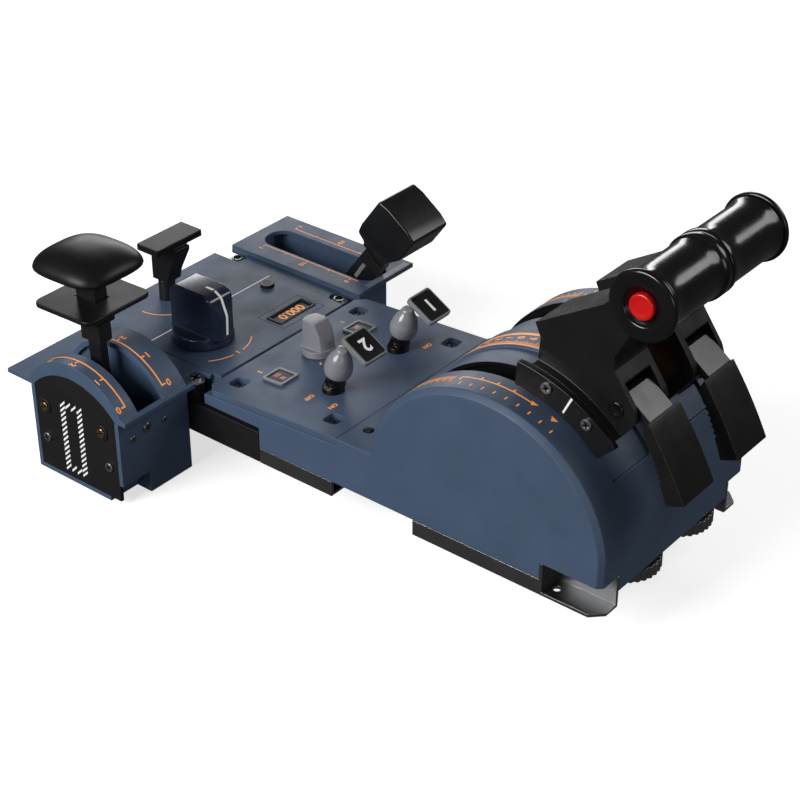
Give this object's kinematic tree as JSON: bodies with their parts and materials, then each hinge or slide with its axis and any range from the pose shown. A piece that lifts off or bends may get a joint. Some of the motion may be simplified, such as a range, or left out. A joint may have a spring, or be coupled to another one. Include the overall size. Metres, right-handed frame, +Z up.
{
  "type": "throttle quadrant",
  "caption": "Cockpit control quadrant with paired thrust levers on a domed housing, speed-brake and flap levers, a trim knob, a parking brake and engine switches.",
  "frame": {"origin": "underside of the base tray, on the middle plane between the thrust levers, below the front edge of the engine panel", "axes": "+X to the pilot's right, +Y forward (aircraft nose), +Z up"},
  "size_m": [0.263, 0.4271, 0.2287],
  "materials": {
    "blue_paint": "satin",
    "black_plastic": "satin",
    "black_gloss": "gloss",
    "steel": "brushed",
    "chrome_screw": "polished",
    "brass_screw": "polished",
    "red_plastic": "gloss",
    "clear_grey": "frosted",
    "blue_plastic": "gloss",
    "dark_lens": "gloss",
    "light_frame": "satin"
  },
  "bodies": {
    "base": {"base_tray": "steel", "throttle_housing": "blue_paint", "thrust_shaft": "steel", "engine_panel": "blue_paint", "panel_screws": "chrome_screw", "annunciator_frames": "light_frame", "annunciator_lenses": "dark_lens", "master_bushes": "black_plastic", "wheel_studs": "steel", "centre_chassis": "blue_paint", "data_socket": "steel", "joining_rails": "black_plastic", "centre_panel": "blue_paint", "display_frame": "black_plastic", "display_window": "dark_lens", "flaps_cover": "blue_paint", "flaps_housing": "blue_paint", "lever_pins": "steel", "flaps_side_plate": "black_plastic", "flaps_brass_screws": "brass_screw", "flaps_steel_screws": "chrome_screw", "speed_brake_housing": "blue_paint", "speed_brake_panel": "blue_paint", "captive_screws": "chrome_screw"},
    "thrust_lever_right": {"lever_arm_right": "steel", "lever_hood_right": "black_gloss", "latch_pin_right": "steel", "lever_foot_right": "black_gloss", "foot_screws_right": "chrome_screw", "grip_right": "black_gloss", "grip_cap_right": "black_gloss"},
    "reverse_lever_right": {"reverse_lever_right": "black_gloss"},
    "disconnect_button_right": {"button_right": "red_plastic"},
    "friction_wheel_right": {"friction_wheel_right": "black_plastic"},
    "master_lever_right": {"master_lever_right": "steel"},
    "master_knob_right": {"master_knob_right": "clear_grey", "master_placard_right": "black_plastic"},
    "thrust_lever_left": {"lever_arm_left": "steel", "lever_hood_left": "black_gloss", "latch_pin_left": "steel", "lever_foot_left": "black_gloss", "foot_screws_left": "chrome_screw", "grip_left": "black_gloss", "grip_cap_left": "black_gloss"},
    "reverse_lever_left": {"reverse_lever_left": "black_gloss"},
    "disconnect_button_left": {"button_left": "red_plastic"},
    "friction_wheel_left": {"friction_wheel_left": "black_plastic"},
    "master_lever_left": {"master_lever_left": "steel"},
    "master_knob_left": {"master_knob_left": "clear_grey", "master_placard_left": "black_plastic"},
    "mode_knob": {"mode_knob": "clear_grey"},
    "rudder_trim_knob": {"rudder_trim_knob": "blue_plastic"},
    "reset_button": {"reset_button": "black_plastic"},
    "parking_brake_shaft": {"parking_brake_shaft": "steel"},
    "parking_brake_handle": {"parking_brake_handle": "black_gloss"},
    "flaps_lever": {"flaps_lever": "steel", "flaps_cap": "black_gloss"},
    "flaps_collar": {"flaps_lift_collar": "black_gloss"},
    "speed_brake_arm": {"speed_brake_arm": "steel"},
    "speed_brake_handle": {"speed_brake_handle": "black_gloss"}
  },
  "joints": [
    {"name": "thrust_lever_right_swing", "type": "hinge", "parent": "base", "child": "thrust_lever_right", "pos_m": [0.039, 0.1013, 0.0273], "axis": [1, 0, 0], "range_deg": [0, 65]},
    {"name": "reverse_lever_right_lift", "type": "hinge", "parent": "thrust_lever_right", "child": "reverse_lever_right", "pos_m": [0.0272, 0.16461, 0.11616], "axis": [1, 0, 0], "range_deg": [0, 15], "stiffness_Nm_per_rad": 0.2, "springref_deg": -5.73},
    {"name": "disconnect_button_right_press", "type": "slide", "parent": "thrust_lever_right", "child": "disconnect_button_right", "axis": [-1, 0, 0], "range_m": [0, 0.002], "stiffness_N_per_m": 300, "springref_m": -0.0005},
    {"name": "friction_wheel_right_turn", "type": "hinge", "parent": "base", "child": "friction_wheel_right", "pos_m": [0.02, 0.1626, 0.005], "axis": [0, 0, 1], "continuous": true},
    {"name": "master_lever_right_flip", "type": "hinge", "parent": "base", "child": "master_lever_right", "pos_m": [0.0305, -0.03794, 0.03848], "axis": [1, 0, 0], "range_deg": [0, 28]},
    {"name": "master_knob_right_lift", "type": "slide", "parent": "master_lever_right", "child": "master_knob_right", "axis": [0, 0.2419, 0.9703], "range_m": [0, 0.0035], "stiffness_N_per_m": 150, "springref_m": -0.0005},
    {"name": "thrust_lever_left_swing", "type": "hinge", "parent": "base", "child": "thrust_lever_left", "pos_m": [-0.039, 0.1013, 0.0273], "axis": [1, 0, 0], "range_deg": [0, 65]},
    {"name": "reverse_lever_left_lift", "type": "hinge", "parent": "thrust_lever_left", "child": "reverse_lever_left", "pos_m": [-0.0272, 0.16461, 0.11616], "axis": [1, 0, 0], "range_deg": [0, 15], "stiffness_Nm_per_rad": 0.2, "springref_deg": -5.73},
    {"name": "disconnect_button_left_press", "type": "slide", "parent": "thrust_lever_left", "child": "disconnect_button_left", "axis": [1, 0, 0], "range_m": [0, 0.002], "stiffness_N_per_m": 300, "springref_m": -0.0005},
    {"name": "friction_wheel_left_turn", "type": "hinge", "parent": "base", "child": "friction_wheel_left", "pos_m": [-0.034, 0.1626, 0.005], "axis": [0, 0, 1], "continuous": true},
    {"name": "master_lever_left_flip", "type": "hinge", "parent": "base", "child": "master_lever_left", "pos_m": [-0.0305, -0.03794, 0.03848], "axis": [1, 0, 0], "range_deg": [0, 28]},
    {"name": "master_knob_left_lift", "type": "slide", "parent": "master_lever_left", "child": "master_knob_left", "axis": [0, 0.2419, 0.9703], "range_m": [0, 0.0035], "stiffness_N_per_m": 150, "springref_m": -0.0005},
    {"name": "mode_knob_turn", "type": "hinge", "parent": "base", "child": "mode_knob", "pos_m": [0, -0.07588, 0.03636], "axis": [0, -0.0558, 0.9984], "range_deg": [-45, 45]},
    {"name": "rudder_trim_turn", "type": "hinge", "parent": "base", "child": "rudder_trim_knob", "pos_m": [0.029, -0.146, 0.035], "axis": [0, 0, 1], "range_deg": [-45, 45], "stiffness_Nm_per_rad": 0.1},
    {"name": "reset_button_press", "type": "slide", "parent": "base", "child": "reset_button", "axis": [0, 0, -1], "range_m": [0, 0.0015], "stiffness_N_per_m": 250, "springref_m": -0.0004},
    {"name": "parking_brake_lift", "type": "slide", "parent": "base", "child": "parking_brake_shaft", "axis": [0, 0, 1], "range_m": [0, 0.008], "stiffness_N_per_m": 100, "springref_m": -0.004},
    {"name": "parking_brake_turn", "type": "hinge", "parent": "parking_brake_shaft", "child": "parking_brake_handle", "pos_m": [0.0064, -0.1995, 0.07], "axis": [0, 0, 1], "range_deg": [0, 90]},
    {"name": "flaps_lever_swing", "type": "hinge", "parent": "base", "child": "flaps_lever", "pos_m": [0.107, -0.1534, 0.0119], "axis": [1, 0, 0], "range_deg": [-53, 53]},
    {"name": "flaps_collar_lift", "type": "slide", "parent": "flaps_lever", "child": "flaps_collar", "axis": [0, -0.0349, 0.9994], "range_m": [0, 0.008], "stiffness_N_per_m": 100, "springref_m": -0.003},
    {"name": "speed_brake_swing", "type": "hinge", "parent": "base", "child": "speed_brake_arm", "pos_m": [-0.101, -0.158, -0.014], "axis": [1, 0, 0], "range_deg": [0, 70]},
    {"name": "speed_brake_handle_lift", "type": "slide", "parent": "speed_brake_arm", "child": "speed_brake_handle", "axis": [0, 0.5878, 0.809], "range_m": [0, 0.008], "stiffness_N_per_m": 150, "springref_m": -0.004}
  ]
}
